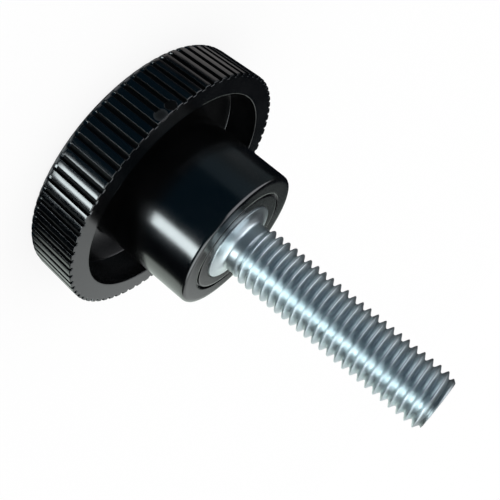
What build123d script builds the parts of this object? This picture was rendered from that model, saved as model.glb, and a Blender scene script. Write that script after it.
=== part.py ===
from build123d import *
import os
from math import cos, radians, sin, tan

# Knurled knob: a moulded head with a hub, and a turned threaded stud anchored in the hub.
# Sizes are in millimetres and angles in degrees. The knob stands on the flat top of its head:
# z = 0 is that flat face, and +Z runs through the hub and along the stud.

# Head
head_diameter = 46.0          # over the rib crests, at the underside edge
head_height = 9.3             # flat top to the underside of the rim
head_draft = 3.0              # the ribbed side closes in towards the flat top
top_edge_ease = 1.2           # radius that the bevels of the top edge follow

# Ribs round the head
rib_count = 74
rib_depth = 0.5
rib_groove_mouth = 0.9        # width of a groove between two crests
rib_groove_floor = 0.4        # width of the same groove at its bottom

# Recess round the hub, open at the underside
rim_wall = 3.8                # rib crest to recess, at the underside
web_thickness = 3.6           # flat top to the recess floor
recess_draft = 1.5            # the recess wall opens towards the underside
recess_mouth_bevel = 0.25

# Hub
hub_diameter = 25.5
hub_rise = 13.3               # underside of the rim to the hub's clamping face
hub_edge_ease = 0.8           # radius that the bevels of the face's edge follow

# Ring groove in the clamping face
ring_groove_gap = 2.2         # collar edge to the groove's near wall
ring_groove_width = 0.4
ring_groove_depth = 0.4

# Threaded stud
thread_diameter = 10.0        # outside of the M10 x 1.5 thread
stud_length = 40.0            # clamping face to the stud's tip
tip_chamfer_length = 1.0
tip_chamfer_depth = 0.8

# Collar of the stud, seated in the clamping face
collar_diameter = 14.0
collar_lip = 0.2              # collar edge above the clamping face
collar_cone_height = 1.0
relief_diameter = 9.0         # plain neck where the thread runs out above the collar
relief_length = 1.2
relief_shoulder = 0.4         # sloping end of the neck, under the first turn

# Anchor of the stud, moulded into the hub
collar_seat_depth = 3.0       # clamping face to the end of the collar
anchor_neck_diameter = 10.5
anchor_neck_length = 3.0
anchor_head_diameter = 14.0
anchor_head_length = 6.0
anchor_tooth_count = 12
anchor_tooth_depth = 0.6
anchor_tooth_mouth = 1.6
anchor_tooth_floor = 0.6

# Worked out from the sizes above
head_radius = head_diameter / 2
top_radius = head_radius - head_height * tan(radians(head_draft))
recess_radius = head_radius - rim_wall
recess_depth = head_height - web_thickness
recess_floor_radius = recess_radius - recess_depth * tan(radians(recess_draft))
hub_radius = hub_diameter / 2
clamping_face = head_height + hub_rise
thread_radius = thread_diameter / 2
tip = clamping_face + stud_length
collar_radius = collar_diameter / 2
collar_top = clamping_face + collar_lip
cone_top = collar_top + collar_cone_height
relief_radius = relief_diameter / 2
relief_top = cone_top + relief_length
thread_start = relief_top + relief_shoulder
collar_end = clamping_face - collar_seat_depth
neck_end = collar_end - anchor_neck_length
anchor_end = neck_end - anchor_head_length
anchor_head_radius = anchor_head_diameter / 2


def turned(corners):
    # A half section given as (radius, height) corners, turned about the Z axis.
    return revolve(Plane.XZ * make_face(Polyline(corners, close=True)), Axis.Z)


def eased(radius, height, ease, above):
    # A convex rim edge, broken by two bevels whose corners lie on a quarter round of radius ease.
    # above is 1 where the solid lies over the edge and -1 where it lies under it.
    steps = [(ease * (1 - cos(radians(turn))), ease * (1 - sin(radians(turn)))) for turn in (0, 45, 90)]
    return [(radius - inset, height + above * rise) for inset, rise in steps]


def flutes(count, crest_radius, depth, mouth, floor, low, high, draft):
    # Straight tapered grooves, evenly spaced, that leave ribs between them. crest_radius is
    # the radius over the ribs at the height high, and draft leans the grooves inwards below it.
    margin = depth
    flank = (mouth - floor) / 2 / depth
    outer = mouth / 2 + margin * flank
    corners = [(0, floor / 2), (depth + margin, outer), (depth + margin, -outer), (0, -floor / 2)]
    section = make_face(Polyline(corners, close=True))
    cutter = extrude(section, (high - low) + margin, dir=(0, 0, -1)) + extrude(section, margin)
    leaning = Pos(crest_radius - depth, 0, high) * Rot(0, draft, 0) * cutter
    return [Rot(0, 0, 360 * place / count) * leaning for place in range(count)]


def moulded_blank():
    # Head, rim, recess and hub in one turned form, before the grooves are cut.
    side_radius = top_radius + top_edge_ease * tan(radians(head_draft))
    return turned([
        (head_radius, head_height),
        *eased(side_radius, 0, top_edge_ease, 1),
        (0, 0),
        (0, clamping_face),
        *reversed(eased(hub_radius, clamping_face, hub_edge_ease, -1)),
        (hub_radius, web_thickness),
        (recess_floor_radius, web_thickness),
        (recess_radius, head_height - recess_mouth_bevel),
        (recess_radius + recess_mouth_bevel, head_height),
    ])


def ring_groove():
    inner = collar_radius + ring_groove_gap
    outer = inner + ring_groove_width
    floor = clamping_face - ring_groove_depth
    top = clamping_face + ring_groove_depth
    return turned([(inner, floor), (outer, floor), (outer, top), (inner, top)])


def stud_collar_and_thread():
    # Collar, thread relief and thread blank. The collar reaches into the hub as far as the neck.
    return turned([
        (0, collar_end),
        (collar_radius, collar_end),
        (collar_radius, collar_top),
        (relief_radius, cone_top),
        (relief_radius, relief_top),
        (thread_radius, thread_start),
        (thread_radius, tip - tip_chamfer_length),
        (thread_radius - tip_chamfer_depth, tip),
        (0, tip),
    ])


def stud_anchor():
    # Neck that the moulding grips along the axis, and a toothed head that stops it turning.
    neck = Pos(0, 0, neck_end) * Cylinder(
        anchor_neck_diameter / 2, anchor_neck_length, align=(Align.CENTER, Align.CENTER, Align.MIN))
    head = Pos(0, 0, anchor_end) * Cylinder(
        anchor_head_radius, anchor_head_length, align=(Align.CENTER, Align.CENTER, Align.MIN))
    head -= flutes(anchor_tooth_count, anchor_head_radius, anchor_tooth_depth,
                   anchor_tooth_mouth, anchor_tooth_floor, anchor_end, neck_end, 0)
    return neck + head


def threaded_stud():
    return stud_collar_and_thread() + stud_anchor()


def knob_head(stud):
    # The moulding fills every face of the collar and the anchor, so the stud itself cuts it.
    body = moulded_blank() - ring_groove()
    body -= flutes(rib_count, head_radius, rib_depth, rib_groove_mouth, rib_groove_floor,
                   0, head_height, head_draft)
    return body - stud


os.makedirs("parts", exist_ok=True)
stud = threaded_stud()
export_step(stud, "parts/threaded_stud.step")
export_step(knob_head(stud), "parts/knob_head.step")
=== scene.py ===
import bmesh
import bpy
import numpy as np
from math import radians
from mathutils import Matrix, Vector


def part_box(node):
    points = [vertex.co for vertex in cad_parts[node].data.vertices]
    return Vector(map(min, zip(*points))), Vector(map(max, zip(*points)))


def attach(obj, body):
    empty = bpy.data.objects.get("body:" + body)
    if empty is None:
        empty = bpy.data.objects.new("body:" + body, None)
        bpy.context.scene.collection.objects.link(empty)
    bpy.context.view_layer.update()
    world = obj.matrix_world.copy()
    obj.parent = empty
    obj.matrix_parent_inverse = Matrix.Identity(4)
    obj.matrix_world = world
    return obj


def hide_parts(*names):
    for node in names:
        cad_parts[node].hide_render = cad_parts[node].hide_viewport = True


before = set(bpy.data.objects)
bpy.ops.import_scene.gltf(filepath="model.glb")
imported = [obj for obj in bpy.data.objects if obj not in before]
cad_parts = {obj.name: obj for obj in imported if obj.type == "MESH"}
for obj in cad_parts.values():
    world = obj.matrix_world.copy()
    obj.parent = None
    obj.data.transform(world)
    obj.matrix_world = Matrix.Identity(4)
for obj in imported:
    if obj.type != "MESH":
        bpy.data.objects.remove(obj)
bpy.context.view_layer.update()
print("frame loaded")

# shapes are in millimetres: heights start at the flat top that the knob stands on
mm = 0.001
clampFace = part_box("knob_head")[1].z / mm
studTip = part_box("threaded_stud")[1].z / mm


def roundedLine(corners, steps=5, fewSteps=3, small=0.1):
    # Half section through corners (radius, height, rounding). A rounded corner becomes a quadratic
    # curve from a point short of the corner, pulled towards it, to a point beyond it. It has steps
    # points, or fewSteps where the rounding is small.
    line = []
    for place, (radius, height, rounding) in enumerate(corners):
        here = np.array([radius, height], float)
        if rounding == 0:
            line.append(here[None])
            continue
        before = np.array(corners[place - 1][:2], float) - here
        after = np.array(corners[place + 1][:2], float) - here
        start = here + before / np.linalg.norm(before) * rounding
        end = here + after / np.linalg.norm(after) * rounding
        s = np.linspace(0, 1, steps if rounding > small else fewSteps)[:, None]
        line.append((1 - s) ** 2 * start + 2 * s * (1 - s) * here + s ** 2 * end)
    return np.concatenate(line)


def turnedMesh(name, radius, height, angle, joined=True):
    # Grid surface: x = radius cos(angle), y = radius sin(angle), z = height. Rows run along the half
    # section and columns round the axis, and the first and last row are poles. The last column joins
    # the first, unless a turn is left open for its two edges to be welded afterwards.
    rows, columns = radius.shape
    ring = np.stack([radius * np.cos(angle), radius * np.sin(angle), height], -1)[1:-1].reshape(-1, 3)
    points = np.concatenate([ring, [[0, 0, height[0, 0]], [0, 0, height[-1, 0]]]]) * mm
    here = np.arange(columns if joined else columns - 1)
    beside = (here + 1) % columns
    row = np.arange(rows - 3)[:, None] * columns
    quads = np.stack([row + here, row + beside, row + columns + beside, row + columns + here], -1)
    quads = quads.reshape(-1, 4)
    last = (rows - 3) * columns
    firstPole = np.stack([beside, here, np.full(len(here), len(ring))], -1)
    lastPole = np.stack([last + here, last + beside, np.full(len(here), len(ring) + 1)], -1)
    corners = np.concatenate([quads.ravel(), firstPole.ravel(), lastPole.ravel()])
    sizes = np.concatenate([np.full(len(quads), 4), np.full(len(here) * 2, 3)])
    mesh = bpy.data.meshes.new(name)
    mesh.vertices.add(len(points))
    mesh.vertices.foreach_set("co", points.ravel())
    mesh.loops.add(len(corners))
    mesh.loops.foreach_set("vertex_index", corners)
    mesh.polygons.add(len(sizes))
    mesh.polygons.foreach_set("loop_start", np.concatenate([[0], np.cumsum(sizes)[:-1]]))
    mesh.update(calc_edges=True)
    mesh.polygons.foreach_set("use_smooth", np.ones(len(sizes), bool))
    mesh.validate()
    piece = bpy.data.objects.new(name, mesh)
    bpy.context.scene.collection.objects.link(piece)
    return piece


# the part of the stud inside the hub, whose form the head's cavity repeats
anchorShape = {
    "radius": 7.0,            # of the collar's foot and of the anchor head
    "neck": 5.25,             # radius
    "seat": 3.0,              # depths below the hub's face
    "neckEnd": 6.0,
    "end": 12.0,
}

knobHeadShape = {
    "rimRadius": 23.0,        # over the rib crests at the underside edge
    "underside": 9.3,         # height of the rim's underside
    "draft": 3.0,             # degrees
    "topRound": 1.2,
    "topRings": (8.0, 19.5),  # radii of rows on the flat top
    "sideRows": (3.2, 6.2, *np.linspace(7.3, 9.02, 12)),  # heights, close together at the gate marks
    "ribs": 74,
    "ribDepth": 0.5,
    "ribFloorHalf": 0.33,
    "ribMouthHalf": 0.42,
    "ribCrown": 0.03,
    "grooveColumns": (0, 0.20, 0.31, 0.35, 0.40, 0.44, 0.47, 0.76),  # from a groove's middle
    "ribbedFrom": 22.25,      # the side is ribbed outside this radius
    "ribbedFromLow": 20.25,   # and outside this one below lowSide, where the top edge rounds
    "lowSide": 2.0,
    "midSide": 5.0,           # above it the grooves follow the section, below it the straight draft
    "underEdge": 0.16,        # a rounding, as every Edge, Corner, Foot and Round here is
    "underRings": (22.2, 20.2, 19.75),
    "webTop": 3.6,            # height of the recess's floor
    "recessRadius": 19.2,
    "recessEdge": 0.12,
    "recessWallRow": (0.05, 6.6),  # inwards from the recess's mouth, height
    "recessFloorRadius": 19.05,
    "recessCorner": 0.15,
    "recessRings": (18.3, 13.6),
    "hubRadius": 12.75,
    "hubFoot": 0.4,
    "hubRound": 0.8,
    "hubLowRow": 6.0,         # height
    "hubHighRow": 2.0,        # below the hub's face
    "hubRing": 11.6,          # radius of a row on the hub's face
    "ringGroove": (9.2, 9.6, 0.4),  # inner and outer radius, depth
    "ringGrooveEdge": 0.06,
    "ringGrooveMargin": 0.3,  # rows this far from the groove on both sides
    "seatRing": 7.3,
    "seatEdge": 0.05,
    # bearing in degrees, height, radius, depth of the dish
    "gateMarks": [(-111.4, 8.5, 0.95, 0.03), (-116.7, 8.35, 0.85, 0.20)],
    "gateBlend": (1.1, 0.2),  # a mark ends at this share of its radius, and blends in over this one
    "gateLow": 0.01,          # depth of a mark's edge below the crests
}


def grooveDepth(angle, s):
    # Depth below the crests: distance round the rim from the nearest groove's middle, turned into depth
    # by a straight wall from the floor's edge to the mouth's edge, and a parabola that crowns the crests.
    pitch = 2 * np.pi / s["ribs"]
    crestMiddle = pitch * s["rimRadius"] / 2
    away = np.abs((angle + pitch / 2) % pitch - pitch / 2) * s["rimRadius"]
    t = np.clip((away - s["ribFloorHalf"]) / (s["ribMouthHalf"] - s["ribFloorHalf"]), 0, 1)
    c = (crestMiddle - away) / (crestMiddle - s["ribMouthHalf"])
    return np.minimum((1 - t) * s["ribDepth"] + s["ribCrown"] * np.minimum(c * c, 1), s["ribDepth"])


def makeKnobHead(name, s, anchor):
    # The half section from the middle of the flat top, round the rim and hub, to the bottom of the
    # cavity, turned about the axis. On the ribbed side, radius = section's radius - groove's depth.
    slope = np.tan(radians(s["draft"]))
    topRadius = s["rimRadius"] - s["underside"] * slope
    inner, outer, deep = s["ringGroove"]
    edge, margin = s["ringGrooveEdge"], s["ringGrooveMargin"]
    wallIn, wallRow = s["recessWallRow"]
    seat, neckEnd, end = (clampFace - anchor[key] for key in ("seat", "neckEnd", "end"))
    flatTop = [(0, 0, 0), *[(ring, 0, 0) for ring in s["topRings"]]]
    line = roundedLine([
        *flatTop,
        (topRadius, 0, s["topRound"]),
        *[(topRadius + row * slope, row, 0) for row in s["sideRows"]],
        (s["rimRadius"], s["underside"], s["underEdge"]),
        *[(ring, s["underside"], 0) for ring in s["underRings"]],
        (s["recessRadius"], s["underside"], s["recessEdge"]),
        (s["recessRadius"] - wallIn, wallRow, 0),
        (s["recessFloorRadius"], s["webTop"], s["recessCorner"]),
        *[(ring, s["webTop"], 0) for ring in s["recessRings"]],
        (s["hubRadius"], s["webTop"], s["hubFoot"]),
        (s["hubRadius"], s["hubLowRow"], 0),
        (s["hubRadius"], clampFace - s["hubHighRow"], 0),
        (s["hubRadius"], clampFace, s["hubRound"]),
        (s["hubRing"], clampFace, 0),
        (outer + margin, clampFace, 0),
        (outer, clampFace, edge), (outer, clampFace - deep, edge),
        (inner, clampFace - deep, edge), (inner, clampFace, edge),
        (inner - margin, clampFace, 0),
        (s["seatRing"], clampFace, 0),
        (anchor["radius"], clampFace, s["seatEdge"]),
        (anchor["radius"], seat, 0), (anchor["neck"], seat, 0),
        (anchor["neck"], neckEnd, 0), (anchor["radius"], neckEnd, 0),
        (anchor["radius"], end, 0), (0, end, 0)])
    # columns crowd where a groove bends: the same places round every groove
    pitch = 2 * np.pi / s["ribs"]
    near = np.array(s["grooveColumns"]) / s["rimRadius"]
    places = np.concatenate([-near[:0:-1], near, [pitch / 2]])
    angle = (np.arange(s["ribs"])[:, None] * pitch + places).ravel()
    radius = np.repeat(line[:, :1], len(angle), 1)
    height = np.repeat(line[:, 1:], len(angle), 1)
    groove = grooveDepth(angle, s)
    # the round marks fill the grooves: a dish whose depth goes with the root of (1 - distance^2)
    reachEnd, blend = s["gateBlend"]
    for bearing, level, size, dish in s["gateMarks"]:
        apart = (angle - radians(bearing) + np.pi) % (2 * np.pi) - np.pi
        distance = np.hypot(apart * s["rimRadius"], height - level) / size
        inside = np.clip((reachEnd - distance) / blend, 0, 1)
        hollow = s["gateLow"] + dish * np.clip(1 - distance ** 2, 0, 1) ** 0.5
        groove = groove * (1 - inside) + inside * hollow
    side = topRadius + height * slope
    reach = np.where(height < s["lowSide"], s["ribbedFromLow"], s["ribbedFrom"])
    pastTop = np.arange(len(line))[:, None] >= len(flatTop)
    ribbed = pastTop & (radius > reach) & (height <= s["underside"])
    cut = np.where(height > s["midSide"], radius - groove, np.minimum(radius, side - groove))
    return turnedMesh(name, np.where(ribbed, cut, radius), height, angle)


studShape = {
    "crest": 5.0,
    "pitch": 1.5,
    "shank": 4.5,             # radius of the plain neck, where the rolled thread starts
    "threadStart": 2.45,      # above the hub's face
    "runIn": 1.3,             # the thread reaches its full depth over this length
    "crestPhase": 4.46,       # a crest lies this far above the hub's face, on the +X side
    # the rounded 60 degree trapezoid: distance from the crest along the axis, and fall below it
    "flankAway": (0, 0.06, 0.11, 0.17, 0.335, 0.50, 0.58, 0.66, 0.75),
    "flankFall": (0, 0.01, 0.055, 0.14, 0.43, 0.715, 0.83, 0.90, 0.92),
    "collarLip": (0.2, 0.08),  # height above the hub's face and rounding of the collar's outer edge
    "collarCone": [(6.75, 0.24, 0), (5.7, 0.42, 0.5)],  # radius, height above the hub's face, rounding
    "neckRows": [(1.1, 0.45), (1.9, 0)],  # height above the hub's face, rounding
    "anchorRing": 6.2,        # radius of a row on the anchor's end
    "anchorEdge": 0.1,
    "chamfer": (1.0, 0.8),    # length and depth at the tip
    "tipInset": 0.15,         # first row of the end face, inside the chamfer's edge
    "tipRing": 2.0,           # radius of its second row
    "columns": 96,
    "roundSteps": 6,
    "spareTurns": 3,          # past both ends together: the clip lays their rows on the ends
    "weld": 2e-6,             # metres
}


def makeThreadedStud(name, s, anchor):
    # Anchor and collar are a turned half section. On the thread, radius = crest - fall, and the fall goes
    # with the distance along the axis from the nearest turn of the crest.
    start, end = clampFace + s["threadStart"], studTip
    seat, neckEnd, bottom = (clampFace - anchor[key] for key in ("seat", "neckEnd", "end"))
    neckRows = [(s["shank"], *row) for row in s["neckRows"]]
    collar = [(anchor["radius"], *s["collarLip"]), *s["collarCone"], *neckRows]
    below = roundedLine([
        (0, bottom, 0), (s["anchorRing"], bottom, 0),
        (anchor["radius"], bottom, s["anchorEdge"]), (anchor["radius"], neckEnd, 0),
        (anchor["neck"], neckEnd, 0), (anchor["neck"], seat, 0), (anchor["radius"], seat, 0),
        *[(out, clampFace + rise, rounding) for out, rise, rounding in collar]], s["roundSteps"])
    angle = np.linspace(0, 2 * np.pi, s["columns"] + 1)
    # rows follow one crest after another, and the crest climbs one pitch in each right-handed turn
    away, fall = np.array(s["flankAway"]), np.array(s["flankFall"])
    step = np.concatenate([away, s["pitch"] - away[-2:0:-1]])
    turns = int((end - start) / s["pitch"]) + s["spareTurns"]
    raw = (np.arange(turns)[:, None] * s["pitch"] + step).ravel()[:, None]
    wind = s["pitch"] * angle / (2 * np.pi)
    crest = clampFace + s["crestPhase"]
    firstCrest = crest - s["pitch"] * np.ceil((crest - start) / s["pitch"] + 1)
    height = np.clip(raw + wind + firstCrest, start, end)
    phase = (height - wind - crest) / s["pitch"]
    depth = np.interp(np.abs(phase - np.round(phase)) * s["pitch"], away, fall)
    # run-in: 3 g^2 - 2 g^3 of the way from the neck to the thread
    grown = np.clip((height - start) / s["runIn"], 0, 1)
    radius = s["shank"] + (s["crest"] - depth - s["shank"]) * grown * grown * (3 - 2 * grown)
    # the chamfer cuts the crests along a straight slope
    long, deep = s["chamfer"]
    radius = np.minimum(radius, s["crest"] - deep + deep * (end - height) / long)
    belowRadius = np.repeat(below[:, :1], len(angle), 1)
    belowHeight = np.repeat(below[:, 1:], len(angle), 1)
    tipRadius = np.repeat([[s["crest"] - deep - s["tipInset"]], [s["tipRing"]], [0.0]], len(angle), 1)
    tipHeight = np.full_like(tipRadius, end)
    radius = np.concatenate([belowRadius, radius, tipRadius])
    height = np.concatenate([belowHeight, height, tipHeight])
    stud = turnedMesh(name, radius, height, angle, joined=False)
    # weld the open edges one turn apart, and the rows that lie on one another past the thread's ends
    work = bmesh.new()
    work.from_mesh(stud.data)
    bmesh.ops.remove_doubles(work, verts=work.verts, dist=s["weld"])
    bmesh.ops.recalc_face_normals(work, faces=work.faces)
    work.to_mesh(stud.data)
    work.free()
    return stud


knobHead = makeKnobHead("ribbedHead", knobHeadShape, anchorShape)
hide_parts("knob_head")
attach(knobHead, "root")
print("head made:", len(knobHead.data.polygons), "faces")

stud = makeThreadedStud("zincStud", studShape, anchorShape)
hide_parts("threaded_stud")
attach(stud, "root")
print("stud made:", len(stud.data.polygons), "faces")


def newGroup(name, inputs, outputs):
    # A shader node group with named sockets: the group, what it is given and what it puts out.
    group = bpy.data.node_groups.new(name, "ShaderNodeTree")
    for label, kind in inputs:
        group.interface.new_socket(label, in_out="INPUT", socket_type=kind)
    for label in outputs:
        group.interface.new_socket(label, in_out="OUTPUT", socket_type="NodeSocketFloat")
    return group, group.nodes.new("NodeGroupInput").outputs, group.nodes.new("NodeGroupOutput").inputs


def node(tree, kind, values=None, links=None, **settings):
    # One node: settings are its own properties, values fill its inputs and links feed them.
    made = tree.nodes.new(kind)
    for key, value in settings.items():
        setattr(made, key, value)
    for key, value in (values or {}).items():
        made.inputs[key].default_value = value
    for key, source in (links or {}).items():
        tree.links.new(source, made.inputs[key])
    return made


def maths(tree, operation, *parts):
    # A math node's result. Parts are numbers or sockets, in the order of its inputs.
    made = node(tree, "ShaderNodeMath", operation=operation)
    for place, part in enumerate(parts):
        if isinstance(part, bpy.types.NodeSocket):
            tree.links.new(part, made.inputs[place])
        else:
            made.inputs[place].default_value = part
    return made.outputs[0]


def mixed(tree, factor, first, second):
    # Mix of two numbers or sockets, by a number or a socket.
    made = node(tree, "ShaderNodeMix", data_type="FLOAT")
    for key, part in (("Factor", factor), ("A", first), ("B", second)):
        if isinstance(part, bpy.types.NodeSocket):
            tree.links.new(part, made.inputs[key])
        else:
            made.inputs[key].default_value = part
    return made.outputs["Result"]


def mapped(tree, value, fromMin, fromMax, toMin=0.0, toMax=1.0):
    # A value carried straight from one range to another, and held at its ends.
    values = {"From Min": fromMin, "From Max": fromMax, "To Min": toMin, "To Max": toMax}
    return node(tree, "ShaderNodeMapRange", values, {"Value": value}).outputs["Result"]


def axisParts(tree, place):
    # Separate coordinates, and the distance from the knob's axis: length of (x, y, 0).
    axes = node(tree, "ShaderNodeSeparateXYZ", None, {0: place}).outputs
    flat = node(tree, "ShaderNodeCombineXYZ", None, {"X": axes["X"], "Y": axes["Y"]})
    out = node(tree, "ShaderNodeVectorMath", None, {0: flat.outputs[0]}, operation="LENGTH")
    return axes, out.outputs["Value"]


grainNoise = {
    "fine": {"Detail": 3.0, "Roughness": 0.6},
    "slow": {"Detail": 4.0, "Roughness": 0.55},
    "cloudRange": (0.32, 0.68),  # of the slow noise, which becomes 0 to 1
}


def makeGrainGroup(s):
    # Fine even grain with a slow unevenness under it: Grain is centred on 0.5, Cloud runs from 0 to 1.
    group, given, out = newGroup("surfaceGrain", [
        ("Vector", "NodeSocketVector"), ("Grain Scale", "NodeSocketFloat"),
        ("Cloud Scale", "NodeSocketFloat")], ["Grain", "Cloud"])
    place = given["Vector"]
    fine = node(group, "ShaderNodeTexNoise", s["fine"], {"Vector": place, "Scale": given["Grain Scale"]})
    slow = node(group, "ShaderNodeTexNoise", s["slow"], {"Vector": place, "Scale": given["Cloud Scale"]})
    group.links.new(fine.outputs["Fac"], out["Grain"])
    group.links.new(mapped(group, slow.outputs["Fac"], *s["cloudRange"]), out["Cloud"])
    return group


dullShadeLimits = {
    "dullShadeFrom": 0.02,         # depth below the crests where a groove starts to be dull and to get painted shade
    "dullShadeFull": 0.05,         # depth where it is fully so
    "rimBand": 1.8,           # the ribbed side lies within this distance of the rim's radius,
    "underEdge": 0.12,        # ends this far short of the underside
    "topShare": 0.8,          # and starts at this share of the top round's length above the flat top
    "floorGap": 0.03,         # how far a point of the recess's floor may lie from its level
}


def makeDullShadeGroup(s, limits):
    # Masks of the duller parts of the moulding. Groove is 1 where a point of the ribbed side lies well
    # below the crests, whose radius is top radius + slope x height; it makes the grooves rougher and also
    # carries the painted shade in them. Floor is 1 on the floor of the recess. In metres.
    group, given, out = newGroup("dullShadeMasks", [("Vector", "NodeSocketVector")], ["Groove", "Floor"])
    axes, radius = axisParts(group, given["Vector"])
    slope = float(np.tan(radians(s["draft"])))
    topRadius = s["rimRadius"] - s["underside"] * slope
    crest = maths(group, "MULTIPLY_ADD", axes["Z"], slope, topRadius * mm)
    below = maths(group, "SUBTRACT", crest, radius)
    deep = mapped(group, below, limits["dullShadeFrom"] * mm, limits["dullShadeFull"] * mm)
    rim = maths(group, "GREATER_THAN", radius, (s["rimRadius"] - limits["rimBand"]) * mm)
    under = maths(group, "LESS_THAN", axes["Z"], (s["underside"] - limits["underEdge"]) * mm)
    over = maths(group, "GREATER_THAN", axes["Z"], s["topRound"] * limits["topShare"] * mm)
    band = maths(group, "MULTIPLY", rim, maths(group, "MULTIPLY", under, over))
    inside = maths(group, "LESS_THAN", radius, s["recessFloorRadius"] * mm)
    level = maths(group, "COMPARE", axes["Z"], s["webTop"] * mm, limits["floorGap"] * mm)
    group.links.new(maths(group, "MULTIPLY", deep, band), out["Groove"])
    group.links.new(maths(group, "MULTIPLY", inside, level), out["Floor"])
    return group


surfaceGrain = makeGrainGroup(grainNoise)
dullShadeMasks = makeDullShadeGroup(knobHeadShape, dullShadeLimits)


def newMaterial(name):
    material = bpy.data.materials.new(name)
    material.use_nodes = True
    tree = material.node_tree
    tree.nodes.clear()
    surface = node(tree, "ShaderNodeOutputMaterial")
    shader = node(tree, "ShaderNodeBsdfPrincipled")
    tree.links.new(shader.outputs["BSDF"], surface.inputs["Surface"])
    return material, tree, shader


def addGrain(tree, look):
    # Object coordinates, and the grain group fed with them.
    place = node(tree, "ShaderNodeTexCoord").outputs["Object"]
    grain = node(tree, "ShaderNodeGroup", node_tree=surfaceGrain)
    grain.inputs["Grain Scale"].default_value = look["grainScale"]
    grain.inputs["Cloud Scale"].default_value = look["cloudScale"]
    tree.links.new(place, grain.inputs["Vector"])
    return place, grain.outputs["Grain"], grain.outputs["Cloud"]


blackPlasticLook = {
    "dark": (0.0003, 0.0004, 0.0005, 1),
    "pale": (0.0008, 0.0010, 0.0013, 1),
    "ior": 1.6,
    "shine": 1.0,
    "roughLow": 0.16,
    "roughHigh": 0.21,
    "roughFloor": 0.22,
    "roughGroove": 0.60,
    "roughMark": 0.70,
    "markFade": 1.15,         # a gate mark's dullness ends at this share of its radius
    "groovePaintedShade": 0.85,      # share of the shine that the bottom of a groove loses: painted shade
    "grainScale": 2600,
    "cloudScale": 160,
    "grainBump": 0.05,
    "grainHeight": 0.00005,   # metres
}


def makeBlackPlastic(look, s):
    material, tree, shader = newMaterial("blackMouldedPlastic")
    shader.inputs["IOR"].default_value = look["ior"]
    shader.inputs["Specular IOR Level"].default_value = look["shine"]
    place, grain, cloud = addGrain(tree, look)
    tint = node(tree, "ShaderNodeMix", {"A": look["dark"], "B": look["pale"]}, {"Factor": cloud},
                data_type="RGBA")
    dullShade = node(tree, "ShaderNodeGroup", None, {"Vector": place}, node_tree=dullShadeMasks).outputs
    level = mapped(tree, cloud, 0.0, 1.0, look["roughLow"], look["roughHigh"])
    level = mixed(tree, dullShade["Groove"], level, look["roughGroove"])
    level = mixed(tree, dullShade["Floor"], level, look["roughFloor"])
    for bearing, height, size, dish in s["gateMarks"]:
        turn = radians(bearing)
        point = np.array([s["rimRadius"] * np.cos(turn), s["rimRadius"] * np.sin(turn), height]) * mm
        away = node(tree, "ShaderNodeVectorMath", {1: point}, {0: place}, operation="DISTANCE")
        mark = mapped(tree, away.outputs["Value"], size * mm, size * look["markFade"] * mm, 1.0, 0.0)
        level = mixed(tree, mark, level, look["roughMark"])
    # painted shade in the grooves: with a black base colour, Metallic takes the shine away
    paintedGrooveShade = maths(tree, "MULTIPLY", dullShade["Groove"], look["groovePaintedShade"])
    bump = node(tree, "ShaderNodeBump", {"Strength": look["grainBump"], "Distance": look["grainHeight"]},
                {"Height": grain})
    tree.links.new(tint.outputs["Result"], shader.inputs["Base Color"])
    tree.links.new(level, shader.inputs["Roughness"])
    tree.links.new(paintedGrooveShade, shader.inputs["Metallic"])
    tree.links.new(bump.outputs["Normal"], shader.inputs["Normal"])
    return material


zincLook = {
    "silver": (0.84, 0.92, 0.94, 1),
    "grey": (0.72, 0.81, 0.84, 1),
    "root": 0.95,             # the tint's share that is left at the bottom of the thread
    "rootDepth": 0.85,        # depths below the crest between which the tint changes
    "crestDepth": 0.05,
    "roughCrest": 0.35,
    "roughRoot": 0.40,
    "uneven": 0.12,           # how far the grain and the rings spread the roughness
    "grainScale": 3500,
    "cloudScale": 420,
    "rings": {"Scale": 3600.0, "Detail": 2.0, "Roughness": 0.7},  # left by thread rolling and lathe
    "ringShare": 0.5,         # of the marks, the rest being grain
    "ringDrift": 0.04,        # how little the rings change from one side to the other
    "streaks": 0.22,          # bump of grain and rings
    "streakHeight": 0.00004,  # metres
    "cutEnd": 0.60,           # the tint's share on the chamfer and the end face
    "cutStart": (1.1, 0.9),   # it sets in between these distances below the tip
}


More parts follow.
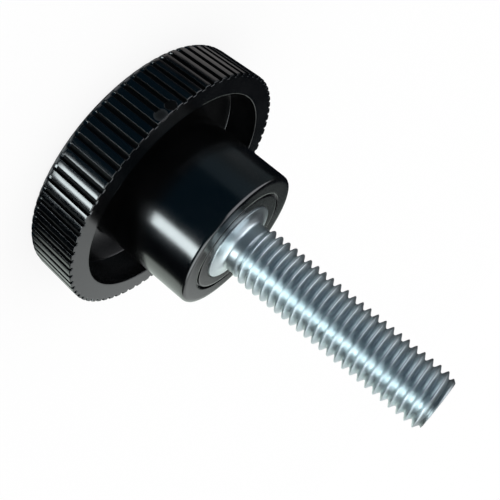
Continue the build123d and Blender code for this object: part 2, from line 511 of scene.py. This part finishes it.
def makeZinc(look, s):
    material, tree, shader = newMaterial("brightZincPlate")
    shader.inputs["Metallic"].default_value = 1.0
    place, grain, cloud = addGrain(tree, look)
    axes, out = axisParts(tree, place)
    # rings round the axis: noise that hardly changes but with the distance from the axis and the height
    drift = maths(tree, "MULTIPLY", axes["X"], look["ringDrift"])
    ringPlace = node(tree, "ShaderNodeCombineXYZ", None, {"X": out, "Y": drift, "Z": axes["Z"]})
    rings = node(tree, "ShaderNodeTexNoise", look["rings"], {"Vector": ringPlace.outputs[0]})
    marks = mixed(tree, look["ringShare"], grain, rings.outputs["Fac"])
    tint = node(tree, "ShaderNodeMix", {"A": look["grey"], "B": look["silver"]}, {"Factor": cloud},
                data_type="RGBA")
    # darker and duller towards the bottom of the thread, brighter and smoother at the crests
    crestward = mapped(tree, out, (s["crest"] - look["rootDepth"]) * mm, (s["crest"] - look["crestDepth"]) * mm)
    share = mapped(tree, crestward, 0.0, 1.0, look["root"], 1.0)
    # darker towards the tip: share of the tint by height, from the start of the chamfer
    cutLow, cutHigh = look["cutStart"]
    cut = mapped(tree, axes["Z"], (studTip - cutLow) * mm, (studTip - cutHigh) * mm, 1.0, look["cutEnd"])
    shaded = node(tree, "ShaderNodeVectorMath", None, {
        0: tint.outputs["Result"], "Scale": maths(tree, "MULTIPLY", share, cut)}, operation="SCALE")
    rough = mapped(tree, crestward, 0.0, 1.0, look["roughRoot"], look["roughCrest"])
    spread = maths(tree, "MULTIPLY_ADD", marks, look["uneven"], -look["uneven"] / 2)
    bump = node(tree, "ShaderNodeBump", {"Strength": look["streaks"], "Distance": look["streakHeight"]},
                {"Height": marks})
    tree.links.new(shaded.outputs[0], shader.inputs["Base Color"])
    tree.links.new(maths(tree, "ADD", rough, spread), shader.inputs["Roughness"])
    tree.links.new(bump.outputs["Normal"], shader.inputs["Normal"])
    return material


knobHead.data.materials.append(makeBlackPlastic(blackPlasticLook, knobHeadShape))
stud.data.materials.append(makeZinc(zincLook, studShape))
print("materials made")


paperFloor = {
    "half": 6.0,              # metres
    "gap": 0.00002,           # metres below the knob
    "paper": (0.98, 0.98, 0.98, 1),
    "plainWhite": 0.85,       # share of plain white, without the shadow, that the camera sees
}


def makeFloor(s):
    # Flat square under the knob. The camera sees it nearly white, with part of the knob's shadow.
    half = s["half"]
    mesh = bpy.data.meshes.new("paperFloor")
    corners = [(-half, -half, 0), (half, -half, 0), (half, half, 0), (-half, half, 0)]
    mesh.from_pydata(corners, [], [(0, 1, 2, 3)])
    floor = bpy.data.objects.new("paperFloor", mesh)
    bpy.context.scene.collection.objects.link(floor)
    floor.location.z = -s["gap"]
    floor.visible_glossy = False  # the plastic and the zinc mirror the studio, not the paper
    material = bpy.data.materials.new("whitePaper")
    material.use_nodes = True
    tree = material.node_tree
    tree.nodes.clear()
    lit = node(tree, "ShaderNodeBsdfDiffuse", {"Color": s["paper"]})
    white = node(tree, "ShaderNodeEmission", {"Color": (1, 1, 1, 1), "Strength": 1.0})
    rays = node(tree, "ShaderNodeLightPath").outputs
    share = maths(tree, "MULTIPLY", rays["Is Camera Ray"], s["plainWhite"])
    both = node(tree, "ShaderNodeMixShader", None, {0: share, 1: lit.outputs[0], 2: white.outputs[0]})
    node(tree, "ShaderNodeOutputMaterial", None, {"Surface": both.outputs[0]})
    mesh.materials.append(material)


def softStep(group, value, start, end, low, high):
    # A soft S-shaped step from low to high, as the value goes from start to end.
    step = node(group, "ShaderNodeMapRange", {"To Min": low, "To Max": high},
                {"Value": value, "From Min": start, "From Max": end}, interpolation_type="SMOOTHSTEP")
    return step.outputs["Result"]


def makePanelGroup():
    # One soft panel of the studio, seen from the knob: 1 where the direction's bearing lies within
    # Half Width of Bearing and its elevation between Low and High, fading to 0 over Fade. In radians.
    labels = ("Bearing", "Half Width", "Low", "High", "Fade", "Strength")
    group, given, out = newGroup("softPanel", [(label, "NodeSocketFloat") for label in labels], ["Level"])
    place = node(group, "ShaderNodeTexCoord")
    axes = node(group, "ShaderNodeSeparateXYZ", None, {0: place.outputs["Generated"]}).outputs
    turned = maths(group, "ARCTAN2", axes["Y"], axes["X"])
    apart = maths(group, "WRAP", maths(group, "SUBTRACT", turned, given["Bearing"]), -np.pi, np.pi)
    away = maths(group, "ABSOLUTE", apart)
    wide = maths(group, "ADD", given["Half Width"], given["Fade"])
    across = softStep(group, away, given["Half Width"], wide, 1.0, 0.0)
    rise = maths(group, "ARCSINE", axes["Z"])
    lowEdge = maths(group, "SUBTRACT", given["Low"], given["Fade"])
    highEdge = maths(group, "ADD", given["High"], given["Fade"])
    under = softStep(group, rise, lowEdge, given["Low"], 0.0, 1.0)
    over = softStep(group, rise, given["High"], highEdge, 1.0, 0.0)
    level = maths(group, "MULTIPLY", maths(group, "MULTIPLY", across, under), over)
    group.links.new(maths(group, "MULTIPLY", level, given["Strength"]), out["Level"])
    return group


studio = {
    "cameraBearing": -94.4,             # degrees from +X, seen from above
    "dim": (0.002, 0.004, 0.007),       # dark room that the shiny surfaces see between the panels
    "even": 1.0,                        # what matt surfaces get from all round
    # bearing from the camera's side, half width, lowest and highest elevation, fade, strength, colour
    "panels": [
        (51, 6, -36, 2, 5, 8.0, (0.88, 0.98, 1.0)),
        (88, 48, 42, 90, 7, 2.0, (0.91, 0.98, 1.0)),
        (88, 48, -90, -62, 12, 0.9, (0.90, 0.98, 1.0)),
        (-5, 60, -60, 70, 25, 0.046, (0.10, 0.58, 1.0)),
        (-85, 34, -21, 30, 4, 0.10, (0.72, 0.92, 1.0)),
        (-75, 50, 34, 90, 7, 1.5, (0.94, 0.95, 1.0)),
        (-75, 50, -90, -62, 12, 0.6, (0.93, 0.95, 1.0)),
        (150, 32, -25, 8, 6, 0.9, (0.90, 1.0, 0.93)),
        (160, 14, 12, 60, 5, 0.60, (0.96, 1.0, 1.0)),
        (-116, 19, -60, -26, 6, 0.40, (1.0, 0.95, 0.94)),
        (-175, 4, 0, 16, 2, 0.04, (0.80, 0.95, 1.0))],
}


def makeStudio(s):
    world = bpy.data.worlds.new("studioLight")
    bpy.context.scene.world = world
    world.use_nodes = True
    tree = world.node_tree
    tree.nodes.clear()
    panel = makePanelGroup()
    total = node(tree, "ShaderNodeCombineXYZ", dict(zip("XYZ", s["dim"]))).outputs[0]
    for bearing, half, low, high, fade, strength, colour in s["panels"]:
        made = node(tree, "ShaderNodeGroup", node_tree=panel)
        angles = {"Bearing": s["cameraBearing"] + bearing, "Half Width": half,
                  "Low": low, "High": high, "Fade": fade}
        for label, value in angles.items():
            made.inputs[label].default_value = radians(value)
        made.inputs["Strength"].default_value = strength
        tinted = node(tree, "ShaderNodeVectorMath", {0: colour}, {"Scale": made.outputs["Level"]},
                      operation="SCALE")
        added = node(tree, "ShaderNodeVectorMath", None, {0: total, 1: tinted.outputs[0]}, operation="ADD")
        total = added.outputs[0]
    mirrored = node(tree, "ShaderNodeBackground", {"Strength": 1.0}, {"Color": total})
    even = node(tree, "ShaderNodeBackground", {"Color": (1, 1, 1, 1), "Strength": s["even"]})
    white = node(tree, "ShaderNodeBackground", {"Color": (1, 1, 1, 1), "Strength": 1.0})
    rays = node(tree, "ShaderNodeLightPath").outputs
    shiny = maths(tree, "MAXIMUM", rays["Is Glossy Ray"], rays["Is Transmission Ray"])
    lit = node(tree, "ShaderNodeMixShader", None, {0: shiny, 1: even.outputs[0], 2: mirrored.outputs[0]})
    seen = node(tree, "ShaderNodeMixShader", None,
                {0: rays["Is Camera Ray"], 1: lit.outputs[0], 2: white.outputs[0]})
    node(tree, "ShaderNodeOutputWorld", None, {"Surface": seen.outputs[0]})


makeFloor(paperFloor)
makeStudio(studio)

cameraLook = {
    "place": (-9.813, -126.948, 58.026),     # mm
    "turn": (-70.183, -49.836, 164.604),     # degrees
    "sensor": 36,                            # mm
    "lens": 59.21,
    "shift": (-0.12, -0.06),                 # the photo is an off-centre crop
    "nearest": 0.005,                        # metres
}
camera = bpy.data.objects.new("camera", bpy.data.cameras.new("camera"))
bpy.context.scene.collection.objects.link(camera)
camera.location = [value * mm for value in cameraLook["place"]]
camera.rotation_euler = [radians(value) for value in cameraLook["turn"]]
camera.data.sensor_width = cameraLook["sensor"]
camera.data.lens = cameraLook["lens"]
camera.data.shift_x, camera.data.shift_y = cameraLook["shift"]
camera.data.clip_start = cameraLook["nearest"]
bpy.context.scene.camera = camera
bpy.context.scene.view_settings.view_transform = "Standard"
print("floor, light and camera made")
